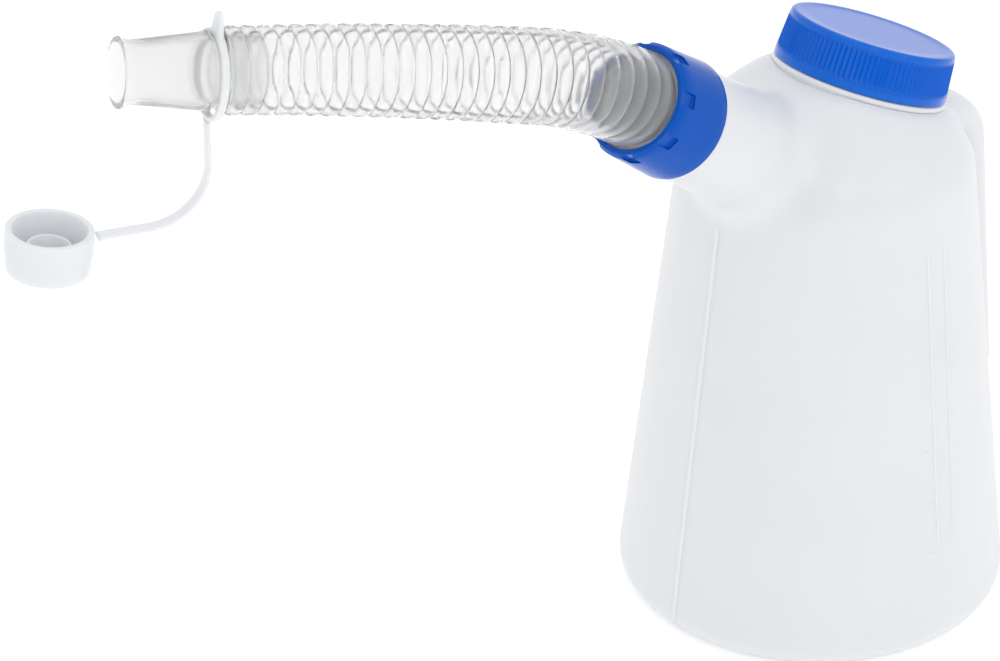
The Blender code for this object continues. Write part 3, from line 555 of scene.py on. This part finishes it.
def jug_body():
    """The hollow jug: filleted skin, collar, threaded necks, handle and recess."""
    skins = [body_skin("body_skin", 0.0), spout_skin("neck_skin", 0.0, -GAP),
             handle_skin("handle_skin", 0.0), recess_skin("recess_skin", 0.0)]
    jug = place("jug_shell", skins[0].data.copy())
    combined(jug, place("neck_copy", skins[1].data.copy()), "UNION")
    combined(jug, place("recess_copy", skins[3].data.copy()), "DIFFERENCE")
    combined(jug, place("handle_copy", skins[2].data.copy()), "UNION")
    faired(jug, skins)
    for skin in skins:
        bpy.data.objects.remove(skin)
    low = -GAP - COLLAR_H
    collar = [(0.0, low - 0.0012), (COLLAR_R - 0.0012, low - 0.0012)]
    collar += arc(COLLAR_R - 0.0011, -GAP - 0.0011, 0.0011, -80, 90)
    collar += [(NECK_ROOT_R + 0.0005, -GAP), (NECK_ROOT_R, -GAP + 0.0005)]
    collar += arc(NECK_ROOT_R - 0.0006, NECK_H - 0.0006, 0.0006, 0, 90) + [(0.0, NECK_H)]
    combined(jug, turned("filler_collar", collar, 128, LID_FRAME), "UNION")
    stub = [(0.0, -0.004), (SPOUT_ROOT_R, -0.004)]
    stub += arc(SPOUT_ROOT_R - 0.0006, SPOUT_RIM_Z - 0.0006, 0.0006, 0, 90) + [(0.0, SPOUT_RIM_Z)]
    combined(jug, turned("spout_stub", stub, matrix=SPOUT_FRAME), "UNION")
    hollow = body_skin("jug_hollow", BODY_WALL)
    neck_r = NECK_ROOT_R - NECK_WALL
    filler = [(0.0, -0.012), (neck_r, -0.012), (neck_r, NECK_H + 0.004), (0.0, NECK_H + 0.004)]
    combined(hollow, turned("filler_bore", filler, 128, LID_FRAME), "UNION")
    combined(hollow, spout_skin("neck_hollow", BODY_WALL, -GAP - 2 * SPOUT_WALL), "UNION")
    bore_r = SPOUT_ROOT_R - SPOUT_WALL
    bore = [(0.0, -0.010), (bore_r, -0.010), (bore_r, NUT_LENGTH), (0.0, NUT_LENGTH)]
    combined(hollow, turned("spout_bore", bore, matrix=SPOUT_FRAME), "UNION")
    combined(hollow, recess_skin("recess_wall", BODY_WALL), "DIFFERENCE")
    combined(hollow, handle_skin("handle_hollow", BODY_WALL), "UNION")
    combined(jug, hollow, "DIFFERENCE")
    combined(jug, helix("filler_thread", NECK_ROOT_R, LID_BORE_R - 0.0005, 0.0025, LID_PITCH, 1.4,
                        LID_FRAME), "UNION")
    combined(jug, helix("spout_thread", SPOUT_ROOT_R, NUT_BORE_R - 0.0005, 0.0085, NUT_PITCH, 1.6,
                        SPOUT_FRAME), "UNION")
    crisp(jug, 38.0)
    return finish_piece(jug, HDPE, "jug", "jug_body")


def wall_frame():
    """On the -Y side wall: +Z up along the wall, -Y out of it, +X along the strip's width."""
    lean = Matrix.Rotation(-BODY_TAPER, 4, "X")
    return Matrix.Translation((0.0, -side_radius(0.0), 0.0)) @ lean


def wall_rib(name, x0, x1, z0, z1):
    """A low rounded rib on the wall, following the wall's roundness from x0 to x1."""
    wide = x1 - x0 > z1 - z0
    steps = 12 if wide else 48
    rings = []
    for k in range(steps + 1):
        share = k / steps
        fade = min(1.0, 0.3 + min(share, 1 - share) * (8 if wide else 60))
        ring = []
        for j in range(7):
            angle = math.pi * j / 6
            side = -math.cos(angle) / 2
            out = RIB_PROUD * fade * math.sin(angle)
            if wide:
                x = x0 + (x1 - x0) * share
                z = (z0 + z1) / 2 + side * (z1 - z0)
            else:
                x = (x0 + x1) / 2 + side * (x1 - x0)
                z = z0 + (z1 - z0) * share
            sag = x * x / (2 * side_radius(z))
            ring.append((x, -out + sag, z))
        for j in (6, 0):
            base = ring[j]
            ring.append((base[0], base[1] + 0.0008, base[2]))
        rings.append(ring)
    return lofted(name, rings, matrix=wall_frame())


def level_number(words, x, height):
    """Raised words on the wall, ending at x."""
    line = bpy.data.curves.new("level_number", "FONT")
    line.body = words
    line.size = NUMBER_SIZE
    line.extrude = 0.0005
    line.bevel_depth = 0.00012
    line.align_x = "RIGHT"
    line.align_y = "CENTER"
    line.resolution_u = 4
    text = bpy.data.objects.new("level_number", line)
    bpy.context.collection.objects.link(text)
    evaluated = text.evaluated_get(bpy.context.evaluated_depsgraph_get())
    mesh = bpy.data.meshes.new_from_object(evaluated)
    bpy.data.objects.remove(text)
    across = x - NUMBER_TURN_X
    sag = across ** 2 / (2 * side_radius(height))
    turn = math.atan2(across, side_radius(height))
    stand = (Matrix.Translation((x, sag, height)) @ Matrix.Rotation(turn, 4, "Z")
             @ Matrix.Rotation(math.pi / 2, 4, "X"))
    return place("level_number", mesh, wall_frame() @ stand)


def level_scale():
    """The strip's two edges, its ticks and their numbers, as one piece."""
    pieces = []
    half = STRIP_WIDTH / 2
    thin = RIB_WIDTH / 2
    for x in (-half, half):
        pieces.append(wall_rib("strip_edge", x - thin, x + thin, STRIP_LOW_Z, STRIP_HIGH_Z))
    for height, words in STRIP_TICKS:
        high = -half - TICK_GAP
        low = high - (TICK_LONG if words else TICK_SHORT)
        pieces.append(wall_rib("tick", low, high, height - thin, height + thin))
        if words:
            pieces.append(level_number(words, low - NUMBER_GAP, height))
    made = bmesh.new()
    for piece in pieces:
        made.from_mesh(piece.data)
        bpy.data.objects.remove(piece)
    mesh = bpy.data.meshes.new("level_scale")
    made.to_mesh(mesh)
    made.free()
    scale = crisp(place("level_scale", mesh), 40.0)
    return finish_piece(scale, HDPE_MARK, "jug")


def mould_line():
    """The faint ridge where the mould's halves met, up the side under the spout."""
    rings = []
    steps = 60
    for k in range(steps + 1):
        z = MOULD_LOW_Z + (MOULD_HIGH_Z - MOULD_LOW_Z) * k / steps
        lift = max(0.0, CORNER_R - z)
        radius = side_radius(max(z, CORNER_R)) - (CORNER_R - math.sqrt(CORNER_R ** 2 - lift ** 2))
        fade = min(1.0, 0.2 + min(k, steps - k) / 4)
        ring = []
        for j in range(7):
            angle = math.pi * j / 6
            out = MOULD_PROUD * fade * math.sin(angle)
            ring.append((-radius - out, -MOULD_HALF_WIDTH * math.cos(angle), z))
        ring.append((-radius + 0.0006, MOULD_HALF_WIDTH, z))
        ring.append((-radius + 0.0006, -MOULD_HALF_WIDTH, z))
        rings.append(ring)
    line = crisp(lofted("mould_line", rings), 30.0)
    return finish_piece(line, HDPE_MARK, "jug")


# ================================================================ lid
def filler_lid():
    """The ribbed lid with its shallow dished top and inner thread."""
    segments = LID_RIBS * LID_RIB_STEPS
    side = (LID_RIM_R - LID_TOP_R) / LID_H
    rows = []

    def row(radius, z, ribbed=0.0):
        ring = []
        for k in range(segments):
            angle = 2 * math.pi * k / segments
            wave = 0.5 - 0.5 * math.cos(2 * math.pi * k / LID_RIB_STEPS)
            r = radius - LID_RIB_DEPTH * ribbed * wave ** 0.8
            ring.append((r * math.cos(angle), r * math.sin(angle), z))
        rows.append(ring)

    def outer(z):
        return LID_RIM_R - side * z

    for r, z in ((0.004, LID_H - 0.00025), (0.012, LID_H - 0.00025), (0.0225, LID_H - 0.00022),
                 (0.0262, LID_H - 0.00018), (0.0272, LID_H)):
        row(r, z)
    for r, z in reversed(arc(outer(LID_H) - 0.0013, LID_H - 0.0013, 0.0013, 0, 90, 7)):
        row(r, z)
    row(outer(LID_H - 0.0022), LID_H - 0.0022, 0.0)
    row(outer(LID_H - 0.0028), LID_H - 0.0028, 0.9)
    for k in range(7):
        z = LID_H - 0.0034 - (LID_H - 0.0034 - 0.0040) * k / 6
        row(outer(z), z, 1.0)
    row(outer(0.0036), 0.0036, 0.9)
    row(outer(0.0030) - 0.0004, 0.0030)
    row(outer(0.0026) + 0.0001, 0.0026)
    for r, z in arc(outer(0.0) - 0.0004, 0.0004, 0.0004, 0, -90, 3):
        row(r, z)
    row(LID_BORE_R + 0.0003, 0.0)
    row(LID_BORE_R, 0.0004)
    row(LID_BORE_R, LID_H - LID_PLATE - 0.0005)
    row(LID_BORE_R - 0.0005, LID_H - LID_PLATE)
    row(0.004, LID_H - LID_PLATE)
    lid = lofted("filler_lid_moulding", rows, matrix=LID_FRAME)
    combined(lid, helix("lid_thread", LID_BORE_R, NECK_ROOT_R + 0.0005, 0.0055, LID_PITCH, 1.0,
                        LID_FRAME), "UNION")
    crisp(lid, 50.0)
    return finish_piece(lid, LID_BLUE, "lid", "filler_lid")


# ================================================================ nut
def rounded_box(name, low, high, radius, matrix):
    """A box between two corners with rounded edges."""
    made = bmesh.new()
    bmesh.ops.create_cube(made, size=1.0)
    bmesh.ops.scale(made, vec=Vector(high) - Vector(low), verts=made.verts)
    bmesh.ops.translate(made, vec=(Vector(high) + Vector(low)) / 2, verts=made.verts)
    bmesh.ops.bevel(made, geom=made.edges[:], offset=radius, segments=3, affect="EDGES", profile=0.5)
    mesh = bpy.data.meshes.new(name)
    made.to_mesh(mesh)
    made.free()
    return place(name, mesh, matrix)


def swivel_nut():
    """The nut with its front bevel, its slots and its inner thread."""
    side = (NUT_REAR_R - NUT_FRONT_R) / NUT_LENGTH
    lip_r = HOSE_CREST_START + 0.0005
    front = NUT_FRONT_R + side * NUT_BEVEL
    face_r = NUT_FRONT_R - NUT_BEVEL
    bevel_z = NUT_LENGTH - NUT_BEVEL
    profile = [(lip_r, NUT_LENGTH - 0.0003), (lip_r + 0.0003, NUT_LENGTH), (face_r, NUT_LENGTH),
               (face_r + 0.0004, NUT_LENGTH - 0.0001), (front - 0.0002, bevel_z + 0.0002),
               (front, bevel_z - 0.0003)]
    for k in range(1, 6):
        z = bevel_z * (1 - k / 6)
        profile.append((NUT_REAR_R - side * z, z))
    profile += arc(NUT_REAR_R - 0.0005, 0.0005, 0.0005, 0, -90, 3)
    profile += [(NUT_BORE_R, 0.0), (NUT_BORE_R, NUT_LENGTH - NUT_LIP),
                (lip_r, NUT_LENGTH - NUT_LIP)]
    nut = turned("swivel_nut_moulding", profile, 128, SPOUT_FRAME)
    for k in range(NUT_SLOTS):
        turn = Matrix.Rotation(2 * math.pi * (k + 0.5) / NUT_SLOTS, 4, "Z")
        slot = rounded_box("slot", (NUT_FRONT_R - 0.0011, -0.0025, NUT_LENGTH - 0.0062),
                           (NUT_REAR_R + 0.004, 0.0025, NUT_LENGTH + 0.004), 0.0005,
                           SPOUT_FRAME @ turn)
        combined(nut, slot, "DIFFERENCE")
    combined(nut, helix("nut_thread", NUT_BORE_R, SPOUT_ROOT_R + 0.0005, 0.0063, NUT_PITCH, 1.35,
                        SPOUT_FRAME), "UNION")
    crisp(nut, 30.0)
    return finish_piece(nut, NUT_BLUE, "nut", "swivel_nut")


# ================================================================ hose
def hose_station(distance):
    """Point and heading of the hose's middle line, in the spout's frame, from the nut's face."""
    sideways = Vector((-math.cos(HOSE_SWIVEL), math.sin(HOSE_SWIVEL), 0.0))
    point = UP * NUT_LENGTH
    turn = 0.0
    if distance <= 0.0:
        return point + UP * distance, UP.copy()
    for length, bend in ((HOSE_NEAR_LENGTH, HOSE_NEAR_BEND), (HOSE_FAR_LENGTH, HOSE_FAR_BEND)):
        radius = length / bend
        after = turn + min(distance, length) / radius
        point = point + UP * radius * (math.sin(after) - math.sin(turn))
        point = point + sideways * radius * (math.cos(turn) - math.cos(after))
        turn = after
        distance -= length
        if distance <= 0.0:
            break
    return point, UP * math.cos(turn) + sideways * math.sin(turn)


def hose_ring(distance, radius):
    """One circle of the hose, square to its middle line."""
    point, heading = hose_station(distance)
    normal = Vector((math.sin(HOSE_SWIVEL), math.cos(HOSE_SWIVEL), 0.0))
    inward = normal.cross(heading)
    ring = []
    for k in range(HOSE_SEGMENTS):
        angle = 2 * math.pi * k / HOSE_SEGMENTS
        ring.append(tuple(point + (normal * math.cos(angle) + inward * math.sin(angle)) * radius))
    return ring


def flex_hose():
    """The corrugated wall and its flange behind the nut's lip, bent in two arcs out from the nut's face.
    """
    pitch = HOSE_LENGTH / HOSE_RINGS
    low = -NUT_LIP - GAP - HOSE_FLANGE_T
    high = -NUT_LIP - GAP

    def crest(distance):
        share = max(0.0, distance) / HOSE_LENGTH
        return HOSE_CREST_START + (HOSE_CREST_END - HOSE_CREST_START) * share

    valley = HOSE_CREST_START - HOSE_RING_DEPTH
    rings = [hose_ring(low, HOSE_FLANGE_R), hose_ring(high, HOSE_FLANGE_R), hose_ring(high, valley)]
    walls = []
    for k in range(HOSE_RINGS * HOSE_ROWS + 1):
        distance = k * pitch / HOSE_ROWS
        across = abs(2 * (k % HOSE_ROWS) / HOSE_ROWS - 1)
        walls.append((distance, crest(distance) - HOSE_RING_DEPTH * across ** 3.4))
    rings += [hose_ring(distance, radius) for distance, radius in walls]
    rings += [hose_ring(distance, radius - HOSE_WALL) for distance, radius in reversed(walls)]
    rings += [hose_ring(high, valley - HOSE_WALL), hose_ring(low, valley - HOSE_WALL)]
    hose = lofted("flex_hose_wall", rings, True, SPOUT_FRAME)
    crisp(hose, 60.0)
    finish_piece(hose, CLEAR, node="flex_hose")
    start = SPOUT_FRAME @ hose_station(0.0)[0]
    end = SPOUT_FRAME @ hose_station(HOSE_LENGTH)[0]
    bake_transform(hose)
    return hose


# ================================================================ nozzle
def nozzle():
    """The nozzle: flared mouth, cone, groove for the ring, stop and shank."""
    shank_r = HOSE_CREST_END - HOSE_RING_DEPTH - HOSE_WALL - GAP
    stop_z = GAP + NOZZLE_STOP_T
    bead_z = stop_z + NOZZLE_GROOVE_W
    cone_z = bead_z + 0.0011
    neck_z = NOZZLE_LENGTH - 0.0043
    stop_r = NOZZLE_GROOVE_R + 0.0019
    bead_r = NOZZLE_GROOVE_R + 0.0014
    cone_r = NOZZLE_GROOVE_R + 0.0009
    profile = arc(NOZZLE_MOUTH_R - 0.0005, NOZZLE_LENGTH - 0.0005, 0.0005, 90, -20, 5)
    profile += [(NOZZLE_MOUTH_R - 0.0003, NOZZLE_LENGTH - 0.0016),
                (NOZZLE_SMALL_R + 0.0004, neck_z + 0.0014), (NOZZLE_SMALL_R, neck_z)]
    for k in range(1, 7):
        share = k / 6
        profile.append((NOZZLE_SMALL_R + (cone_r - NOZZLE_SMALL_R) * share,
                        neck_z + (cone_z - neck_z) * share))
    profile += [(bead_r - 0.0002, cone_z)] + arc(bead_r - 0.0004, bead_z + 0.0005, 0.0004, 60, -60, 4)
    profile += [(NOZZLE_GROOVE_R, bead_z), (NOZZLE_GROOVE_R, stop_z)]
    profile += arc(stop_r - 0.0004, GAP + NOZZLE_STOP_T / 2, 0.0004, 60, -60, 4)
    profile += [(shank_r, GAP), (shank_r, -NOZZLE_SHANK + 0.0005), (shank_r - 0.0004, -NOZZLE_SHANK),
                (shank_r - NOZZLE_WALL, -NOZZLE_SHANK), (NOZZLE_GROOVE_R - NOZZLE_WALL, bead_z),
                (NOZZLE_SMALL_R - NOZZLE_WALL, neck_z),
                (NOZZLE_MOUTH_R - NOZZLE_WALL - 0.0005, NOZZLE_LENGTH - 0.0002)]
    tip = turned("nozzle_moulding", profile, 96, TIP_FRAME)
    crisp(tip, 34.0)
    return finish_piece(tip, NOZZLE_CLEAR, "tip", "nozzle")


# ================================================================ tether ring, strap and cap
def tether_ring():
    """The ring hanging in the nozzle's groove, with its finger tab."""
    outer_r = RING_INNER_R + RING_WALL
    half = RING_WIDTH / 2
    edge = 0.0005
    profile = (arc(outer_r - edge, half - edge, edge, 0, 90, 3)
               + arc(RING_INNER_R + edge, half - edge, edge, 90, 180, 3)
               + arc(RING_INNER_R + edge, -half + edge, edge, 180, 270, 3)
               + arc(outer_r - edge, -half + edge, edge, 270, 360, 3))
    drop = TIP_FRAME @ Matrix.Translation((-RING_DROP, 0.0, RING_MIDDLE))
    ring = turned("tether_ring_moulding", profile, 96, drop)
    foot = outer_r - RING_WALL / 2
    top = outer_r + TAB_HEIGHT
    rings = []
    for k in range(13):
        share = k / 12
        height = foot + (top - foot) * share
        round_off = math.sqrt(max(0.02, 1 - max(0.0, (share - 0.62) / 0.38) ** 2))
        width = (TAB_WIDTH / 2) * (1 + 0.25 * (1 - share) ** 3 - 0.18 * share) * round_off
        thick = TAB_T / 2 * (1 - 0.25 * share) * (0.5 + 0.5 * round_off)
        section = []
        for j in range(20):
            angle = 2 * math.pi * j / 20
            c, s = math.cos(angle), math.sin(angle)
            section.append((height, math.copysign(abs(c) ** 0.45, c) * width,
                            math.copysign(abs(s) ** 0.6, s) * thick))
        rings.append(section)
    combined(ring, lofted("ring_tab", rings, matrix=drop), "UNION")
    crisp(ring, 40.0)
    return finish_piece(ring, SOFT_MILK, "ring", "tether_ring")


def tether_strap():
    """The moulded strap: it drops from the ring and runs nearly level to the cap."""
    ring_bottom = RING_INNER_R + RING_WALL + RING_DROP + GAP
    start = (RING_MIDDLE * math.cos(TIP_LEAN) + ring_bottom * math.sin(TIP_LEAN),
             RING_MIDDLE * math.sin(TIP_LEAN) - ring_bottom * math.cos(TIP_LEAN) - GAP)
    end_x = CAP_REACH - CAP_RIM_R * math.cos(CAP_TILT) - 3 * GAP
    path = rounded_path((start, (start[0] + 0.0002, -STRAP_DROP), (end_x, -STRAP_DROP)),
                        STRAP_BEND_R, 24)
    dense = []
    for before, after in zip(path, path[1:]):
        parts = max(1, round((after - before).length / 0.0012))
        dense += [before.lerp(after, k / parts) for k in range(parts)]
    dense.append(path[-1])
    section = []
    for j in range(20):
        angle = 2 * math.pi * j / 20
        c, s = math.cos(angle), math.sin(angle)
        section.append((math.copysign(abs(c) ** 0.6, c) * STRAP_T / 2,
                        math.copysign(abs(s) ** 0.45, s) * STRAP_WIDTH / 2))
    strap = swept("tether_strap_moulding", dense, section, TETHER_FRAME)
    finish_piece(strap, SOFT_MILK, node="tether_strap")
    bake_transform(strap)
    return strap


def tip_cap():
    """The cap, open upwards, with its inner plug ring."""
    seat = (TETHER_FRAME @ Matrix.Translation((CAP_REACH, 0.0, -CAP_RIM_DROP))
            @ Matrix.Rotation(-CAP_TILT, 4, "Y"))
    floor = -CAP_H + 0.0016
    band = -CAP_H / 2
    plug_top = floor + 0.0075
    plug_in = CAP_PLUG_R - 0.0012
    outside = arc(CAP_RIM_R - 0.0005, -0.0005, 0.0005, 90, 0, 4)
    outside += [(CAP_RIM_R, band + 0.0004), (CAP_RIM_R + 0.0001, band),
                (CAP_RIM_R - 0.0004, band - 0.0004), (CAP_FLOOR_R, -CAP_H + 0.0012)]
    outside += arc(CAP_FLOOR_R - 0.0012, -CAP_H + 0.0012, 0.0012, -15, -90, 5) + [(0.0, -CAP_H)]
    inside = [(0.0, floor), (plug_in - 0.0004, floor), (plug_in, floor + 0.0004),
              (plug_in, plug_top - 0.0004), (plug_in + 0.0003, plug_top), (CAP_PLUG_R - 0.0003, plug_top),
              (CAP_PLUG_R, plug_top - 0.0004), (CAP_PLUG_R, floor + 0.0003), (CAP_PLUG_R + 0.0003, floor),
              (CAP_BORE_R - 0.0006, floor), (CAP_BORE_R, floor + 0.0006), (CAP_BORE_R, -0.0005),
              (CAP_BORE_R + 0.0004, 0.0)]
    cap = turned("tip_cap_moulding", inside + outside, 96, seat)
    crisp(cap, 40.0)
    return finish_piece(cap, SOFT_MILK, "cap", "tip_cap")


# ================================================================ stage, light and camera
def studio():
    world = bpy.data.worlds.new("studio")
    bpy.context.scene.world = world
    world.use_nodes = True
    back = world.node_tree.nodes["Background"]
    back.inputs["Color"].default_value = (1.0, 1.0, 1.0, 1.0)
    back.inputs["Strength"].default_value = WORLD_STRENGTH
    made = bmesh.new()
    bmesh.ops.create_grid(made, x_segments=8, y_segments=8, size=FLOOR_HALF_SIZE)
    mesh = bpy.data.meshes.new("studio_floor")
    made.to_mesh(mesh)
    made.free()
    floor = place("studio_floor", mesh, Matrix.Translation((0.0, 0.0, -0.0002)))
    paper = plastic("white_paper", (0.93, 0.93, 0.93), 0.8, drift=0.01)
    shader = paper.node_tree.nodes["Principled BSDF"]
    shader.inputs["Emission Color"].default_value = (1.0, 1.0, 1.0, 1.0)
    shader.inputs["Emission Strength"].default_value = FLOOR_GLOW
    floor.data.materials.append(paper)
    for name, spot, size, power in LAMPS:
        lamp = bpy.data.lights.new(name, "AREA")
        lamp.size = size
        lamp.energy = power
        item = bpy.data.objects.new(name, lamp)
        bpy.context.collection.objects.link(item)
        item.location = spot
        item.rotation_euler = (LAMP_TARGET - Vector(spot)).to_track_quat("-Z", "Y").to_euler()


def camera():
    lens = bpy.data.cameras.new("view")
    lens.sensor_width = CAMERA_SENSOR_MM
    lens.lens = CAMERA_LENS_MM
    lens.clip_end = 20.0
    item = bpy.data.objects.new("view", lens)
    bpy.context.collection.objects.link(item)
    item.location = CAMERA_PLACE
    item.rotation_euler = (math.pi / 2 - CAMERA_PITCH, 0.0, -CAMERA_YAW)
    bpy.context.scene.camera = item


jug_body()
level_scale()
mould_line()
filler_lid()
swivel_nut()
flex_hose()
nozzle()
tether_ring()
tether_strap()
tip_cap()
for node in ("lid_seal", "spout_seal"):
    frame["nodes"][node].data.materials.clear()
    frame["nodes"][node].data.materials.append(SEAL)
studio()
camera()
scene = bpy.context.scene
scene.view_settings.view_transform = "Standard"
scene.cycles.max_bounces = 24
scene.cycles.transmission_bounces = 24
scene.cycles.transparent_max_bounces = 16
